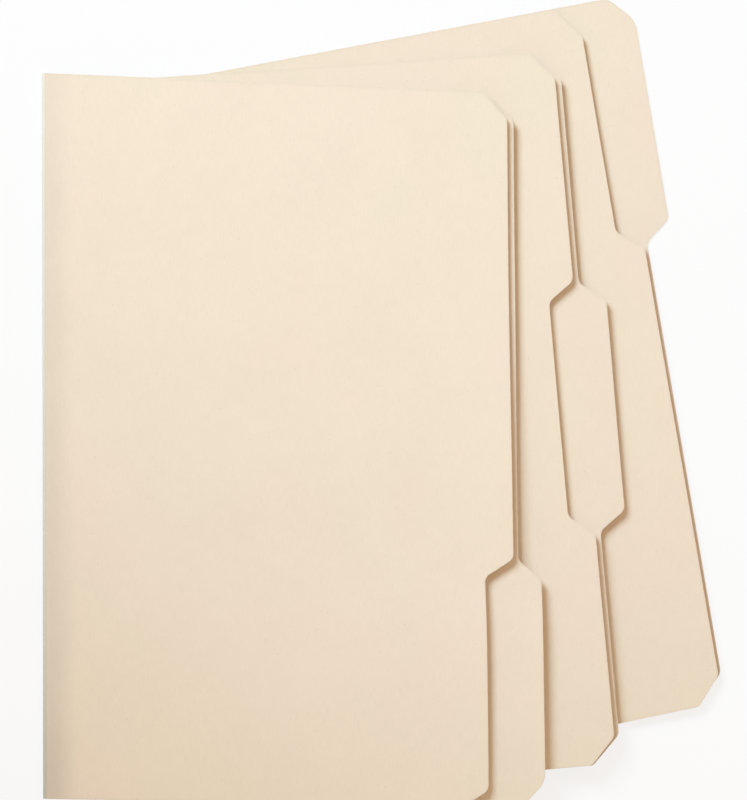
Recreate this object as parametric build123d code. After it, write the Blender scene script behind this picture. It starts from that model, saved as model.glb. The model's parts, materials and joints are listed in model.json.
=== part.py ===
from build123d import *
import os

# A fanned set of three letter-size manila file folders, in millimetres.
# Each folder is one die-cut sheet of card: a back leaf with a third-cut tab, a rounded fold,
# and a shorter front leaf whose undercut leaves the tab free to be read and gripped.
# In a folder's own frame the fold's outside is at X 0, its head at Y 0 and its foot at -Y.

# Card and fold
card_thickness = 0.28
fold_length = 298.45
leaf_gap = 1.2
fold_lip = 1.0

# Back leaf, measured from the outside of the fold
tab_reach = 241.3
shoulder_reach = 228.6

# Front leaf, measured from the outside of the fold
front_reach = 224.0
undercut_depth = 12.4

# Cutting of the free edges: a step is a tab on the back leaf or an undercut on the front one
step_slope_run = 10.0
middle_tab_inset = 1.7
undercut_margin = 1.2
step_rounding = 4.0

# Cut corners
back_corner_across = 14.2
back_corner_along = 12.0
front_corner_across = 12.3
front_corner_along = 11.2
corner_rounding = 4.0
tab_corner_across = 12.0
tab_corner_along = 11.0
tab_corner_rounding = 8.0

# Stack, from the floor up: how far a folder springs open by itself,
# and how it leans, is slid and is turned on the folder that it lies on
stack_gap = 0.3
rear_spring_angle = 0.35
rear_turn_angle = 11.05
middle_spring_angle = 0.35
middle_lean_angle = 0.7
middle_slide = (-31.1, 5.2)
middle_turn_angle = -5.72
front_spring_angle = 0.5
front_lean_angle = 0.9
front_slide = (-27.54, 4.8)
front_turn_angle = -5.33

# Derived sizes
bend_inner_radius = leaf_gap / 2
bend_radius = bend_inner_radius + card_thickness
leaf_start = bend_radius + fold_lip
folder_thickness = 2 * bend_radius
stack_pitch = folder_thickness + stack_gap
tab_positions = 3
tab_share = fold_length / tab_positions
back_corner = (back_corner_across, back_corner_along, corner_rounding)
front_corner = (front_corner_across, front_corner_along, corner_rounding)
tab_corner = (tab_corner_across, tab_corner_along, tab_corner_rounding)


def step_span(position, inset):
    """Start and end of a step, from the head, for a tab position and an inset of its inner ends."""
    start = position * tab_share + inset if position > 0 else 0
    end = (position + 1) * tab_share - inset if position < tab_positions - 1 else fold_length
    return start, end


def head_corner(reach, cut):
    """Two rounded points that cut a corner at the head."""
    across, along, rounding = cut
    return [(reach - across, 0, rounding), (reach, -along, rounding)]


def foot_corner(reach, cut):
    """Two rounded points that cut a corner at the foot."""
    across, along, rounding = cut
    return [(reach, along - fold_length, rounding), (reach - across, -fold_length, rounding)]


def slope(reach_before, reach_after, distance):
    """Two rounded points of the slope between two reaches, centred at a distance from the head."""
    half_run = step_slope_run / 2
    before = (reach_before, half_run - distance, step_rounding)
    after = (reach_after, -half_run - distance, step_rounding)
    return [before, after]


def leaf(reach, stepped_reach, span, corner, stepped_corner):
    """Leaf of card whose free edge stands at reach, and at stepped_reach along the span."""
    start, end = span
    points = [(leaf_start, 0, 0)]
    if start > 0:
        points += head_corner(reach, corner)
        points += slope(reach, stepped_reach, start)
    else:
        points += head_corner(stepped_reach, stepped_corner)
    if end < fold_length:
        points += slope(stepped_reach, reach, end)
        points += foot_corner(reach, corner)
    else:
        points += foot_corner(stepped_reach, stepped_corner)
    points += [(leaf_start, -fold_length, 0)]
    corners = [(x, y) for x, y, rounding in points]
    roundings = [rounding for x, y, rounding in points]
    outline = FilletPolyline(*corners, radius=roundings, close=True)
    return extrude(make_face(outline), card_thickness)


def opened(angle):
    """Turn about the fold's axis that lifts the free edges by an angle."""
    axis = Pos(bend_radius, 0, bend_radius)
    return axis * Rot(0, -angle, 0) * axis.inverse()


def fold(spring):
    """Rounded fold that joins the leaves, sprung a little open, with a short lip on each side."""
    lip_height = bend_radius - card_thickness / 2
    sprung = Rot(0, 0, spring)
    bend = Circle(bend_radius) - Circle(bend_inner_radius)
    left_side = Rectangle(2 * bend_radius, 2 * folder_thickness, align=(Align.MAX, Align.CENTER))
    lip = Rectangle(fold_lip, card_thickness, align=(Align.MIN, Align.CENTER))
    lower_lip = Pos(0, -lip_height) * lip
    upper_lip = sprung * Pos(0, lip_height) * lip
    profile = (bend & left_side & sprung * left_side) + lower_lip + upper_lip
    return Pos(bend_radius, 0, bend_radius) * extrude(Plane.XZ * profile, fold_length)


def folder(position, spring):
    """The three pieces of a folder with its tab at a position counted from the head."""
    inset = middle_tab_inset if 0 < position < tab_positions - 1 else 0
    tab_span = step_span(position, inset)
    undercut_span = step_span(position, inset - undercut_margin)
    undercut_reach = front_reach - undercut_depth
    front_leaf = leaf(front_reach, undercut_reach, undercut_span, front_corner, front_corner)
    return {
        "back_leaf": leaf(shoulder_reach, tab_reach, tab_span, back_corner, tab_corner),
        "fold": fold(spring),
        "front_leaf": opened(spring) * Pos(0, 0, folder_thickness - card_thickness) * front_leaf,
    }


# Each row: name, tab position, spring, lean, slide and turn, from the folder on the floor up
stack = [
    ("rear_folder", 0, rear_spring_angle, 0, (0, 0), rear_turn_angle),
    ("middle_folder", 1, middle_spring_angle, middle_lean_angle, middle_slide, middle_turn_angle),
    ("front_folder", 2, front_spring_angle, front_lean_angle, front_slide, front_turn_angle),
]

nodes = {}
places = {}
support = Pos(0, 0, 0)
for name, position, spring, lean, slide, turn in stack:
    places[name] = support * opened(lean) * Pos(slide[0], slide[1], 0) * Rot(0, 0, turn)
    support = places[name] * opened(spring) * Pos(0, 0, stack_pitch)
    for piece, shape in folder(position, spring).items():
        nodes[f"{name}_{piece}"] = places[name] * shape

# The set is centred on the floor
box = Compound(children=[shape.solid() for shape in nodes.values()]).bounding_box()
centring = Pos(-box.center().X, -box.center().Y, -box.min.Z)

os.makedirs("parts", exist_ok=True)
for name, shape in nodes.items():
    export_step(centring * shape.solid(), f"parts/{name}.step")

# Axis of each fold, for the joints: its middle, and the way that turns the front leaf open
for name, place in places.items():
    middle = (centring * place * Pos(bend_radius, -fold_length / 2, bend_radius)).position
    opening = (place * Pos(0, -1, 0)).position - place.position
    print(name, "fold axis through", middle, "along", opening)
print("box", box.size)
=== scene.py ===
import bpy
import bmesh
import json
from math import atan2, cos, pi, radians, sin, tan
from mathutils import Matrix, Vector


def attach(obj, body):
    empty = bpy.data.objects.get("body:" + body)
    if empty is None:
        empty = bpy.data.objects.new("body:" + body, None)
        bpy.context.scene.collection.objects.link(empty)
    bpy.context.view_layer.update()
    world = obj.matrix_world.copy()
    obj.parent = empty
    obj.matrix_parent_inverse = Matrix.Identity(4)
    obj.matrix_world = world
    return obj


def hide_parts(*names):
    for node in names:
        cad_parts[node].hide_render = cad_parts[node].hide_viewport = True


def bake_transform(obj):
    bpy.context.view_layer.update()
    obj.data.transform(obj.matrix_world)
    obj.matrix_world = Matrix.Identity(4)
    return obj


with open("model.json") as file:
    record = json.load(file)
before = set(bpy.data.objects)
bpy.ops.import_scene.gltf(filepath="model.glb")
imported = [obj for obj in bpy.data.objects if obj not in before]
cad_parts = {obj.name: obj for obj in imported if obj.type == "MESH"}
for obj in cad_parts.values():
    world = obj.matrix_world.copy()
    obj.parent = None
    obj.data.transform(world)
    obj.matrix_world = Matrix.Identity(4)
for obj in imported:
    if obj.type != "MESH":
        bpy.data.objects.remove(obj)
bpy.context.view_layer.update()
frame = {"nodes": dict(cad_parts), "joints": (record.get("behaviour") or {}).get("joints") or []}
print("frame loaded:", len(frame["nodes"]), "solids")

scene = bpy.context.scene
scene.view_settings.view_transform = "Standard"

# where the photographer stood, seen from the middle of the set
viewpoint = {
    "aim": (-0.004671, -0.000832, 0.0),
    "azimuth": -172.9591,
    "elevation": 55.7975,
    "roll": 83.5965,
    "distance": 8.98165,
    "lens": 649.2,
    "sensorHeight": 24.0,
    "clip": (0.1, 60),   # nearest and farthest that is drawn
}


def setCamera():
    turn, rise = radians(viewpoint["azimuth"]), radians(viewpoint["elevation"])
    back = Vector((cos(rise) * cos(turn), cos(rise) * sin(turn), sin(rise)))
    level = Vector((0, 0, 1)).cross(back).normalized()
    right = Matrix.Rotation(radians(viewpoint["roll"]), 3, back) @ level
    up = back.cross(right)
    cameraData = bpy.data.cameras.new("photoCamera")
    cameraData.sensor_fit = "VERTICAL"
    cameraData.sensor_height = viewpoint["sensorHeight"]
    cameraData.lens = viewpoint["lens"]
    cameraData.clip_start, cameraData.clip_end = viewpoint["clip"]
    camera = bpy.data.objects.new("photoCamera", cameraData)
    scene.collection.objects.link(camera)
    place = Vector(viewpoint["aim"]) + back * viewpoint["distance"]
    facing = Matrix((right, up, back)).transposed().to_4x4()
    camera.matrix_world = Matrix.Translation(place) @ facing
    scene.camera = camera


setCamera()
print("camera set")

# the card, in metres, with the fold's outside at X 0, the head at Y 0 and the foot at -Y
cardStock = {
    "thickness": 0.00028,
    "foldLength": 0.29845,
    "bendRadius": 0.00088,   # to the outside of the fold
    "foldLip": 0.001,        # flat strip of card on each side of the bend
    "gridStep": 0.011,       # cuts that let a leaf bow
    "gridWidth": 0.25,       # they stop here, just past the tabs
    "wearBand": 0.0016,      # rubbed band along a cut edge
    "roundSteps": 8,         # facets of a rounded corner
    "smoothAngle": 35,
}
midRadius = cardStock["bendRadius"] - cardStock["thickness"] / 2
leafStart = cardStock["bendRadius"] + cardStock["foldLip"]
tiny = 1e-5        # places nearer than this count as one
weldReach = 1e-6   # vertices nearer than this are merged
cutReach = 1e-7    # a vertex nearer than this lies on a cut


def putDown():
    if bpy.context.mode != "OBJECT":
        bpy.ops.object.mode_set(mode="OBJECT")
    bpy.ops.object.select_all(action="DESELECT")


def openedBy(angle):
    axis = Matrix.Translation((cardStock["bendRadius"], 0, cardStock["bendRadius"]))
    return axis @ Matrix.Rotation(-angle, 4, "Y") @ axis.inverted()


def blankCard(name, nearX, farX, height):
    # flat rectangle over the whole length of the fold, left in edit mode
    putDown()
    length = cardStock["foldLength"]
    bpy.ops.mesh.primitive_plane_add(size=1, location=((nearX + farX) / 2, -length / 2, height))
    blank = bpy.context.active_object
    blank.name = name
    blank.data.name = name
    blank.scale = (farX - nearX, length, 1)
    bpy.ops.object.transform_apply(location=True, rotation=True, scale=True)
    bpy.ops.object.mode_set(mode="EDIT")
    bpy.ops.mesh.select_mode(type="VERT")
    return blank


def pickVerts(piece, wanted):
    bpy.ops.mesh.select_all(action="DESELECT")
    cardMesh = bmesh.from_edit_mesh(piece.data)
    for vert in cardMesh.verts:
        vert.select_set(wanted(vert.co))
    cardMesh.select_flush_mode()
    bmesh.update_edit_mesh(piece.data)


def cutAlong(point, normal, dropOuter=False):
    bpy.ops.mesh.select_all(action="SELECT")
    bpy.ops.mesh.bisect(plane_co=point, plane_no=normal, clear_outer=dropOuter, threshold=cutReach)


def roundOff(piece, spot, radius):
    # a die-cut corner: the vertex at the spot becomes an arc
    cardMesh = bmesh.from_edit_mesh(piece.data)
    corner = min(cardMesh.verts, key=lambda vert: (vert.co - Vector(spot)).length)
    arms = [edge.other_vert(corner).co - corner.co for edge in corner.link_edges]
    turn = pi - arms[0].angle(arms[1])
    here = corner.co.copy()
    pickVerts(piece, lambda place: (place - here).length < tiny)
    bpy.ops.mesh.bevel(offset_type="OFFSET", offset=radius * tan(turn / 2),
                       segments=cardStock["roundSteps"], affect="VERTICES", clamp_overlap=False)


def giveThickness(piece):
    solid = piece.modifiers.new("cardThickness", "SOLIDIFY")
    solid.thickness = cardStock["thickness"]
    solid.offset = 0
    solid.use_even_offset = True
    solid.material_offset_rim = 1   # the rim takes the second material
    bpy.ops.object.modifier_apply(modifier=solid.name)
    bpy.ops.object.shade_smooth_by_angle(angle=radians(cardStock["smoothAngle"]))


def layOut(piece, readUv):
    # the sheet's own flat measure, in metres, so grain and crease follow the card
    cardUv = piece.data.uv_layers.active
    cardUv.name = "cardUv"
    for loop in piece.data.loops:
        cardUv.data[loop.index].uv = readUv(piece.data.vertices[loop.vertex_index].co)


class NodeBench:
    # short calls for wiring a material
    def __init__(self, name):
        self.material = bpy.data.materials.new(name)
        self.material.use_nodes = True
        self.tree = self.material.node_tree
        self.shader = self.tree.nodes["Principled BSDF"]

    def add(self, kind, **settings):
        node = self.tree.nodes.new("ShaderNode" + kind)
        for key, value in settings.items():
            setattr(node, key, value)
        return node

    def join(self, source, target):
        self.tree.links.new(source, target)

    def noise(self, vector, scale, detail, roughness):
        node = self.add("TexNoise")
        node.inputs["Scale"].default_value = scale
        node.inputs["Detail"].default_value = detail
        node.inputs["Roughness"].default_value = roughness
        self.join(vector, node.inputs["Vector"])
        return node.outputs["Fac"]

    def stretch(self, vector, scale):
        node = self.add("Mapping")
        node.inputs["Scale"].default_value = scale
        self.join(vector, node.inputs["Vector"])
        return node.outputs["Vector"]

    def spread(self, value, fromLow, fromHigh, toLow, toHigh, smooth=False):
        node = self.add("MapRange", interpolation_type="SMOOTHSTEP" if smooth else "LINEAR")
        self.join(value, node.inputs["Value"])
        limits = {"From Min": fromLow, "From Max": fromHigh, "To Min": toLow, "To Max": toHigh}
        for key, number in limits.items():
            node.inputs[key].default_value = number
        return node.outputs["Result"]

    def maths(self, operation, first, second):
        node = self.add("Math", operation=operation)
        for slot, value in enumerate((first, second)):
            if isinstance(value, (int, float)):
                node.inputs[slot].default_value = value
            else:
                self.join(value, node.inputs[slot])
        return node.outputs["Value"]

    def tint(self, amount, below, above):
        node = self.add("Mix", data_type="RGBA")
        sockets = [socket for socket in node.inputs if socket.type == "RGBA"]
        for socket, colour in zip(sockets, (below, above)):
            if isinstance(colour, tuple):
                socket.default_value = (*colour, 1)
            else:
                self.join(colour, socket)
        self.join(amount, node.inputs[0])
        return [socket for socket in node.outputs if socket.type == "RGBA"][0]

    def shade(self, colour, amount):
        node = self.add("VectorMath", operation="SCALE")
        self.join(colour, node.inputs[0])
        self.join(amount, node.inputs["Scale"])
        return node.outputs["Vector"]

    def emboss(self, height, strength, distance):
        bump = self.add("Bump")
        bump.inputs["Strength"].default_value = strength
        bump.inputs["Distance"].default_value = distance
        self.join(height, bump.inputs["Height"])
        self.join(bump.outputs["Normal"], self.shader.inputs["Normal"])


# painted shade along the fold: darker, greyer card in a band by the bend and on the bend itself, most of
# all at its foot
creaseShade = {
    "depth": 0.016,                           # reach of the dark band
    "ragged": (0.3, 0.7, -0.0012, 0.0012),    # how the mottling moves the band's edge
    "head": 0.14,                             # strength at the head and at the foot
    "foot": 0.28,
    "corner": 0.12,                           # more strength towards the foot, from this share on
    "cornerFrom": 0.75,
    "tip": (0.42, 0.52),                      # strength on the bend itself, at the head and the foot
    "tipFade": (0.0005, 0.0013),
}


# painted shade: a darkening share for the band along the fold and for the bend, stronger towards the foot
def paintCreaseShade(bench, uv, mottle):
    split = bench.add("SeparateXYZ")
    bench.join(uv, split.inputs["Vector"])
    across, along = split.outputs["X"], split.outputs["Y"]
    foot = -cardStock["foldLength"]
    corner = bench.spread(along, creaseShade["cornerFrom"] * foot, foot, 0, creaseShade["corner"],
                          smooth=True)
    strength = bench.maths(
        "ADD", bench.spread(along, 0, foot, creaseShade["head"], creaseShade["foot"]), corner)
    ragged = bench.maths("ADD", across, bench.spread(mottle, *creaseShade["ragged"]))
    fade = bench.spread(ragged, 0, creaseShade["depth"], 1, 0, smooth=True)
    band = bench.maths("MULTIPLY", strength, fade)
    tip = bench.maths("MULTIPLY", bench.spread(along, 0, foot, *creaseShade["tip"]),
                      bench.spread(across, *creaseShade["tipFade"], 1, 0, smooth=True))
    return bench.maths("ADD", band, tip)


# manila card: cream pulp with long pale fibres and a few dark flecks
cardFinish = {
    "tone": (0.88, 0.762, 0.595),
    "peachTone": (0.89, 0.752, 0.605),   # broad faint patches
    "fleckTone": (0.60, 0.44, 0.27),
    # tone of the worn edges, and of the painted shade along the fold
    "wearAndShadeTone": (0.43, 0.38, 0.31),
    # noises: scale, detail, roughness
    "patch": (11, 2, 0.5),
    "mottle": (26, 4, 0.55),
    "cloud": (170, 3, 0.6),
    "fleck": (1050, 1.5, 0.4),
    "fibre": (1500, 3, 0.65),
    "tooth": (4200, 2, 0.6),
    "fibreStretch": (1, 0.16, 1),
    # what the noises do: low and high of the noise, and what these become
    "peachShare": (0.35, 0.65, 0, 1),
    "fleckShare": (0.70, 0.76, 0, 0.32),
    "wearSoil": (0.35, 0.7, 0.03, 0.16),
    "mottleShade": (0.25, 0.75, 0.984, 1.012),
    "cloudShade": (0.2, 0.8, 0.985, 1.012),
    "fibreShade": (0.2, 0.8, 0.972, 1.024),
    "fibreRoughness": (0.2, 0.8, 0.72, 0.60),
    "shine": 0.22,
    "toothRelief": 0.5,
    "bump": (0.18, 0.00006),             # strength, distance
}


def makeCardFace():
    bench = NodeBench("manilaCardFace")
    uv = bench.add("UVMap", uv_map="cardUv").outputs["UV"]
    wear = bench.add("Attribute", attribute_name="edgeWear").outputs["Fac"]
    patch = bench.noise(uv, *cardFinish["patch"])
    mottle = bench.noise(uv, *cardFinish["mottle"])
    cloud = bench.noise(uv, *cardFinish["cloud"])
    fleck = bench.noise(uv, *cardFinish["fleck"])
    fibre = bench.noise(bench.stretch(uv, cardFinish["fibreStretch"]), *cardFinish["fibre"])
    tooth = bench.noise(uv, *cardFinish["tooth"])

    # pulp, then flecks, then soil on the worn edges and painted shade along the fold
    peach = bench.spread(patch, *cardFinish["peachShare"])
    pulp = bench.tint(peach, cardFinish["tone"], cardFinish["peachTone"])
    pulp = bench.tint(bench.spread(fleck, *cardFinish["fleckShare"]), pulp, cardFinish["fleckTone"])
    wearAndShade = bench.maths("MULTIPLY", wear, bench.spread(cloud, *cardFinish["wearSoil"]))
    # the painted shade along the fold is added to the edge wear here
    wearAndShade = bench.maths("ADD", wearAndShade, paintCreaseShade(bench, uv, mottle))
    wornAndShaded = bench.tint(wearAndShade, pulp, cardFinish["wearAndShadeTone"])

    # grain, in shade, shine and relief
    grain = bench.maths("MULTIPLY", bench.spread(mottle, *cardFinish["mottleShade"]),
                        bench.spread(cloud, *cardFinish["cloudShade"]))
    grain = bench.maths("MULTIPLY", grain, bench.spread(fibre, *cardFinish["fibreShade"]))
    bench.join(bench.shade(wornAndShaded, grain), bench.shader.inputs["Base Color"])
    bench.join(bench.spread(fibre, *cardFinish["fibreRoughness"]), bench.shader.inputs["Roughness"])
    bench.shader.inputs["Specular IOR Level"].default_value = cardFinish["shine"]
    relief = bench.maths("ADD", bench.maths("MULTIPLY", tooth, cardFinish["toothRelief"]), fibre)
    bench.emboss(relief, *cardFinish["bump"])
    return bench.material


# the die-cut edge: open fibres in layers, a little deeper in tone than the faces
cutFinish = {
    "tone": (0.84, 0.70, 0.50),
    "layers": (900, 2, 0.6),             # noises and what they do, as for the card's faces
    "layerStretch": (1, 1, 14),
    "layerShare": (0.3, 0.7, 0, 0.5),
    "tufts": (2600, 2, 0.6),
    "tuftShade": (0.2, 0.8, 0.93, 1.06),
    "tuftRoughness": (0.2, 0.8, 0.95, 0.82),
    "shine": 0.12,
    "bump": (0.3, 0.00004),
}


def makeCardCut():
    bench = NodeBench("manilaCardCut")
    place = bench.add("TexCoord").outputs["Object"]
    layers = bench.noise(bench.stretch(place, cutFinish["layerStretch"]), *cutFinish["layers"])
    tufts = bench.noise(place, *cutFinish["tufts"])
    layerShare = bench.spread(layers, *cutFinish["layerShare"])
    core = bench.tint(layerShare, cutFinish["tone"], cardFinish["fleckTone"])
    shaded = bench.shade(core, bench.spread(tufts, *cutFinish["tuftShade"]))
    bench.join(shaded, bench.shader.inputs["Base Color"])
    bench.join(bench.spread(tufts, *cutFinish["tuftRoughness"]), bench.shader.inputs["Roughness"])
    bench.shader.inputs["Specular IOR Level"].default_value = cutFinish["shine"]
    bench.emboss(tufts, *cutFinish["bump"])
    return bench.material


cardFace = makeCardFace()
cardCut = makeCardCut()
print("card materials made")

# cutting of a leaf's free edge; a step is the tab on a back leaf and the undercut on a front one
edgeCut = {
    "slopeRun": 0.008,
    "slopeRounding": 0.004,
    "middleInset": 0.0017,   # the tab in the middle is this much shorter at both ends
    "flatAngle": 0.2,        # cuts that turn by less are dissolved
}
backLeafCut = {
    "reach": 0.2286,
    "stepReach": 0.2413,
    "margin": 0.0,
    "corner": (0.0142, 0.012, 0.004),   # across, along, rounding
    "endCorner": (0.012, 0.011, 0.008),
    "bow": 0.0003,
}
frontLeafCut = {
    "reach": 0.224,
    "stepReach": 0.2116,
    "margin": 0.0012,
    "corner": (0.0123, 0.0112, 0.004),
    "endCorner": (0.0123, 0.0112, 0.004),
    "bow": 0.0004,
}

# card never lies dead flat: waves along the free edge, a lift along the step, a twist from head to foot
cardBow = {
    "slowShare": 0.38,
    "slowWaves": 1.15,
    "quickShare": 0.12,
    "quickWaves": 2.9,
    "quickPhase": 2.3,
    "quickSlant": 0.4,
    "stepStart": (-0.004, 0.03),   # where the lift fades in and out, from the step's start and end
    "stepEnd": (0.025, -0.025),
    "headTwist": (0.15, 0.62),     # shares of the length where the twist passes over
    "footTwist": (0.45, 1),
    "phase": 0.17,                 # of the first folder, then what each folder and each front leaf adds
    "folderPhase": 0.31,
    "frontPhase": 0.2,
}


def stepSpan(tabPlace, margin):
    length = cardStock["foldLength"]
    inset = (edgeCut["middleInset"] if tabPlace == 1 else 0) - margin
    start = tabPlace * length / 3 + inset if tabPlace > 0 else 0
    end = (tabPlace + 1) * length / 3 - inset if tabPlace < 2 else length
    return start, end


def cutCorner(reach, cut, atHead):
    # two corner points come back, for rounding off
    across, along, rounding = cut
    edge, side = (0, 1) if atHead else (-cardStock["foldLength"], -1)
    first, second = (reach - across, edge, 0), (reach, edge - side * along, 0)
    cutAlong(first, Vector((along, side * across, 0)).normalized(), dropOuter=True)
    return [(first, rounding), (second, rounding)]


def ease(value, low, high):
    part = min(1, max(0, (value - low) / (high - low)))
    return part * part * (3 - 2 * part)


def riseAt(out, fromHead, span, bow, phase, warp):
    # rise of the free edge at a distance from the head; out is 0 at the fold and 1 at the edge
    start, end = span
    atHead, atStep, atFoot = warp
    along = fromHead / cardStock["foldLength"]
    slow = 1 + sin(2 * pi * (phase - cardBow["slowWaves"] * along))
    quick = 1 + sin(2 * pi * (cardBow["quickPhase"] * phase - cardBow["quickWaves"] * along
                              + cardBow["quickSlant"] * out))
    waves = bow * (cardBow["slowShare"] * slow + cardBow["quickShare"] * quick)
    nearStep = 1
    if start > 0:
        nearStep = min(nearStep, ease(fromHead, *(start + shift for shift in cardBow["stepStart"])))
    if end < cardStock["foldLength"]:
        nearStep = min(nearStep, ease(fromHead, *(end + shift for shift in cardBow["stepEnd"])))
    twist = atHead * (1 - ease(along, *cardBow["headTwist"])) + atFoot * ease(along, *cardBow["footTwist"])
    return waves + atStep * nearStep + twist


def makeLeaf(name, cut, tabPlace, height, phase, warp, trim):
    length = cardStock["foldLength"]
    reachTrim, stepTrim, marginTrim, cornerTrim = trim
    reach, stepReach = cut["reach"] + reachTrim, cut["stepReach"] + stepTrim
    start, end = stepSpan(tabPlace, cut["margin"] + marginTrim)
    half = edgeCut["slopeRun"] / 2
    leaf = blankCard(name, leafStart, reach, 0)

    # the step: cuts at both ends of each slope, then the edge between them is moved
    slopeEnds = []
    low, high = 0.0, length
    if start > 0:
        low = start + half
        slopeEnds += [(start - half, reach), (low, stepReach)]
    if end < length:
        high = end - half
        slopeEnds += [(high, stepReach), (end + half, reach)]
    corners = []
    for place, farX in slopeEnds:
        cutAlong((0, -place, 0), (0, 1, 0))
        corners.append(((farX, -place, 0), edgeCut["slopeRounding"]))
    pickVerts(leaf, lambda at: at.x > reach - tiny and -high - tiny < at.y < -low + tiny)
    bpy.ops.transform.translate(value=(stepReach - reach, 0, 0))
    bpy.ops.mesh.select_all(action="SELECT")
    bpy.ops.mesh.dissolve_limited(angle_limit=radians(edgeCut["flatAngle"]))

    # the corners at the head and the foot, cut across and rounded
    across, along, rounding = cut["endCorner"]
    endCorner = (across, along + cornerTrim, rounding)
    for atHead, stepHere in ((True, start == 0), (False, end == length)):
        if stepHere:
            corners += cutCorner(stepReach, endCorner, atHead)
        else:
            corners += cutCorner(reach, cut["corner"], atHead)
    for spot, rounding in corners:
        roundOff(leaf, spot, rounding)

    # a band along the edge for wear, and a grid that can bow
    bpy.ops.mesh.select_all(action="SELECT")
    bpy.ops.mesh.inset(thickness=cardStock["wearBand"], depth=0, use_boundary=True)
    step = cardStock["gridStep"]
    for count in range(1, int(cardStock["gridWidth"] / step)):
        cutAlong((leafStart + count * step, 0, 0), (1, 0, 0))
    for count in range(1, int(length / step) + 1):
        cutAlong((0, -count * step, 0), (0, 1, 0))

    cardMesh = bmesh.from_edit_mesh(leaf.data)
    worn = [vert.index for vert in cardMesh.verts if vert.is_boundary and vert.co.x > leafStart + tiny]
    bpy.ops.object.mode_set(mode="OBJECT")
    layOut(leaf, lambda at: (at.x, at.y))
    edgeWear = leaf.data.attributes.new("edgeWear", "FLOAT", "POINT")
    for index in worn:
        edgeWear.data[index].value = 1

    for vert in leaf.data.vertices:
        out = vert.co.x / reach
        vert.co.z = height + out * out * riseAt(out, -vert.co.y, (start, end), cut["bow"], phase, warp)
    leaf.data.materials.append(cardFace)
    leaf.data.materials.append(cardCut)
    giveThickness(leaf)
    return leaf


foldBend = {
    "steps": 18,
    "passHeight": 0.0006,   # above and below the pivot, where the fold passes from leaf to leaf
}


def makeFold(name, spring, puff):
    fold = blankCard(name, cardStock["bendRadius"], leafStart, cardStock["bendRadius"] - midRadius)
    centre = Vector((cardStock["bendRadius"], 0, cardStock["bendRadius"]))
    pickVerts(fold, lambda at: at.x < cardStock["bendRadius"] + tiny)
    bpy.ops.mesh.spin(steps=foldBend["steps"], angle=spring - pi, center=centre, axis=(0, 1, 0))
    lip = Vector((cos(spring), 0, sin(spring))) * cardStock["foldLip"]
    bpy.ops.mesh.extrude_region_move(TRANSFORM_OT_translate={"value": lip})
    bpy.ops.mesh.select_all(action="SELECT")
    bpy.ops.mesh.remove_doubles(threshold=weldReach)
    bpy.ops.mesh.normals_make_consistent(inside=False)
    bpy.ops.object.mode_set(mode="OBJECT")
    quarter = midRadius * pi / 2

    def readUv(at):
        # distance from the outermost line of the fold, made to meet the leaves' measure
        fromAxis = at - centre
        if fromAxis.x < 0:
            distance = midRadius * abs(atan2(fromAxis.z, -fromAxis.x))
        else:
            distance = quarter + fromAxis.x
        return distance * leafStart / (quarter + cardStock["foldLip"]), at.y

    layOut(fold, readUv)
    # a soft fold stands out a little, most of all towards the foot
    atHead, atFoot = puff
    for vert in fold.data.vertices:
        if vert.co.x < cardStock["bendRadius"] + tiny:
            vert.co.x -= atHead - (atFoot - atHead) * vert.co.y / cardStock["foldLength"]
    fold.data.materials.append(cardFace)
    fold.data.materials.append(cardCut)
    giveThickness(fold)
    return fold


# the fan, from the floor up: how far each folder springs open by itself,
# and how it leans, is slid and is turned on the one under it
# puff: how far the fold stands out at the head and at the foot
# warp: how far the free edge is lifted at the head, along the step and at the foot
# trim: what is added to the reach, the step's reach, its margin and the end corner's length
fan = {
    "stackPitch": 0.00206,
    "folders": [
        {"name": "rear_folder", "tabPlace": 0, "spring": 0.35, "lean": 0,
         "slide": (0, 0), "turn": 11.05, "puff": (0, 0),
         "backWarp": (0, 0, 0), "frontWarp": (-0.0004, 0, 0),
         "backTrim": (-0.0003, 0, 0, 0), "frontTrim": (0.0008, 0, 0, 0.0025)},
        {"name": "middle_folder", "tabPlace": 1, "spring": 0.35, "lean": 0.7,
         "slide": (-0.0311, 0.0052), "turn": -5.72, "puff": (0, 0),
         "backWarp": (-0.0001, 0, 0.0009), "frontWarp": (-0.0004, -0.0001, 0.0013),
         "backTrim": (0, 0.0004, 0, 0), "frontTrim": (0, -0.0004, -0.0003, 0)},
        {"name": "front_folder", "tabPlace": 2, "spring": 0.5, "lean": 0.9,
         "slide": (-0.02754, 0.0048), "turn": -5.33, "puff": (0.0003, 0.0018),
         "backWarp": (-0.0005, 0.0006, 0.0021), "frontWarp": (-0.0016, 0.001, 0.0021),
         "backTrim": (0.0002, -0.0014, 0, 0), "frontTrim": (0.0002, -0.0014, -0.001, -0.0042)},
    ],
}
pivots = {joint["name"]: Vector(joint["pos_m"]) for joint in frame["joints"]}


def settle(piece, place):
    putDown()
    piece.select_set(True)
    bpy.context.view_layer.objects.active = piece
    piece.matrix_world = place
    bpy.ops.object.transform_apply(location=True, rotation=True, scale=True)


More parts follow.
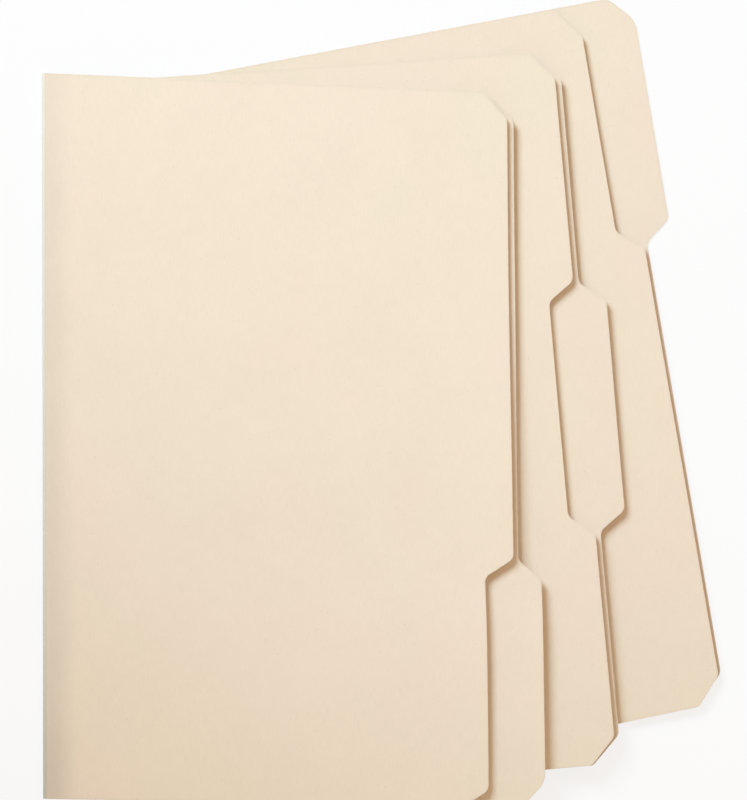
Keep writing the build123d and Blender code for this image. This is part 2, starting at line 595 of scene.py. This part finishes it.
def makeFolder(order, place):
    name = order["name"]
    spring = radians(order["spring"])
    phase = cardBow["phase"] + cardBow["folderPhase"] * order["tabPlace"]
    lowMid = cardStock["thickness"] / 2
    highMid = 2 * cardStock["bendRadius"] - lowMid
    back = makeLeaf(name + "_back_card", backLeafCut, order["tabPlace"], lowMid, phase,
                    order["backWarp"], order["backTrim"])
    settle(back, place)
    front = makeLeaf(name + "_front_card", frontLeafCut, order["tabPlace"], highMid,
                     phase + cardBow["frontPhase"], order["frontWarp"], order["frontTrim"])
    settle(front, place @ openedBy(spring))
    fold = makeFold(name + "_fold_card", spring, order["puff"])
    settle(fold, place)
    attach(back, name + "_back")
    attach(front, name + "_front")
    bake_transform(fold)
    for piece, node in ((back, "_back_leaf"), (front, "_front_leaf"), (fold, "_fold")):
        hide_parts(name + node)
    print(name, "made:", [len(piece.data.polygons) for piece in (back, front, fold)], "faces")


# the first folder lies on the floor by its pivot, and each next one on the folder under it
support = None
for order in fan["folders"]:
    turned = Matrix.Rotation(radians(order["turn"]), 4, "Z")
    if support is None:
        radius = cardStock["bendRadius"]
        toPivot = Vector((radius, -cardStock["foldLength"] / 2, radius))
        place = Matrix.Translation(pivots["rear_leaf_opening"] - turned @ toPivot) @ turned
    else:
        leaning = support @ openedBy(radians(order["lean"]))
        place = leaning @ Matrix.Translation((*order["slide"], 0)) @ turned
    makeFolder(order, place)
    support = place @ openedBy(radians(order["spring"])) @ Matrix.Translation((0, 0, fan["stackPitch"]))
putDown()

# pale floor and soft studio light
studio = {
    "floorTone": (0.90, 0.89, 0.88),
    "floorWhite": 0.80,      # share of plain white that the camera sees in the floor
    "floorSize": 60,
    "floorDrop": 0.0003,     # a hair under the card
    "keyPlace": (-5.73, 3.1, 3.82),
    "keyAim": (0.05, 0.33, 0.0),   # past the head, so the light falls off towards the foot
    "keySize": 0.25,
    "keySteps": 2,           # lamps on each side of the middle one
    "keySpacing": 0.45,
    "keyCone": 12.4,
    "keyWatts": 3500,
    "keyTone": (0.605, 0.815, 1.0),
    "roomTone": (1.0, 0.75, 0.525),
    "roomLevel": 0.575,
}
plainWhite = (1, 1, 1, 1)


def addKeyBank():
    # soft spots in a square, all turned to the same place
    centre, aim = Vector(studio["keyPlace"]), Vector(studio["keyAim"])
    facing = (aim - centre).to_track_quat("-Z", "Y").to_matrix()
    steps = range(-studio["keySteps"], studio["keySteps"] + 1)
    for row in steps:
        for column in steps:
            place = centre + facing @ Vector((column, row, 0)) * studio["keySpacing"]
            lampData = bpy.data.lights.new("keyLamp", "SPOT")
            lampData.shadow_soft_size = studio["keySize"]
            lampData.spot_size = radians(studio["keyCone"])
            lampData.spot_blend = 1
            lampData.energy = studio["keyWatts"] / len(steps) ** 2
            lampData.color = studio["keyTone"]
            lamp = bpy.data.objects.new("keyLamp", lampData)
            scene.collection.objects.link(lamp)
            turned = (aim - place).to_track_quat("-Z", "Y").to_matrix().to_4x4()
            lamp.matrix_world = Matrix.Translation(place) @ turned


def seenDirectly(tree):
    # one for rays that show the background, zero for rays that light the card
    path = tree.nodes.new("ShaderNodeLightPath")
    total = path.outputs["Is Camera Ray"]
    for ray in ("Is Glossy Ray", "Is Transmission Ray"):
        both = tree.nodes.new("ShaderNodeMath")
        both.operation = "MAXIMUM"
        tree.links.new(total, both.inputs[0])
        tree.links.new(path.outputs[ray], both.inputs[1])
        total = both.outputs[0]
    return total


def showMixed(tree, share, lighting, white, outputKind):
    mix = tree.nodes.new("ShaderNodeMixShader")
    out = tree.nodes.new(outputKind)
    tree.links.new(share, mix.inputs[0])
    tree.links.new(lighting.outputs[0], mix.inputs[1])
    tree.links.new(white.outputs[0], mix.inputs[2])
    tree.links.new(mix.outputs[0], out.inputs["Surface"])


def makeFloor():
    putDown()
    bpy.ops.mesh.primitive_plane_add(size=studio["floorSize"], location=(0, 0, -studio["floorDrop"]))
    floor = bpy.context.active_object
    floor.name = "paleFloor"
    material = bpy.data.materials.new("paleFloor")
    material.use_nodes = True
    tree = material.node_tree
    tree.nodes.clear()
    matt = tree.nodes.new("ShaderNodeBsdfDiffuse")
    matt.inputs["Color"].default_value = (*studio["floorTone"], 1)
    white = tree.nodes.new("ShaderNodeEmission")
    white.inputs["Color"].default_value = plainWhite
    share = tree.nodes.new("ShaderNodeMath")
    share.operation = "MULTIPLY"
    share.inputs[1].default_value = studio["floorWhite"]
    tree.links.new(seenDirectly(tree), share.inputs[0])
    showMixed(tree, share.outputs[0], matt, white, "ShaderNodeOutputMaterial")
    floor.data.materials.append(material)


def makeRoom():
    world = bpy.data.worlds.new("studioRoom")
    scene.world = world
    world.use_nodes = True
    tree = world.node_tree
    tree.nodes.clear()
    glow = tree.nodes.new("ShaderNodeBackground")
    glow.inputs["Color"].default_value = (*studio["roomTone"], 1)
    glow.inputs["Strength"].default_value = studio["roomLevel"]
    white = tree.nodes.new("ShaderNodeBackground")
    white.inputs["Color"].default_value = plainWhite
    showMixed(tree, seenDirectly(tree), glow, white, "ShaderNodeOutputWorld")


addKeyBank()
makeFloor()
makeRoom()
print("floor and light set")
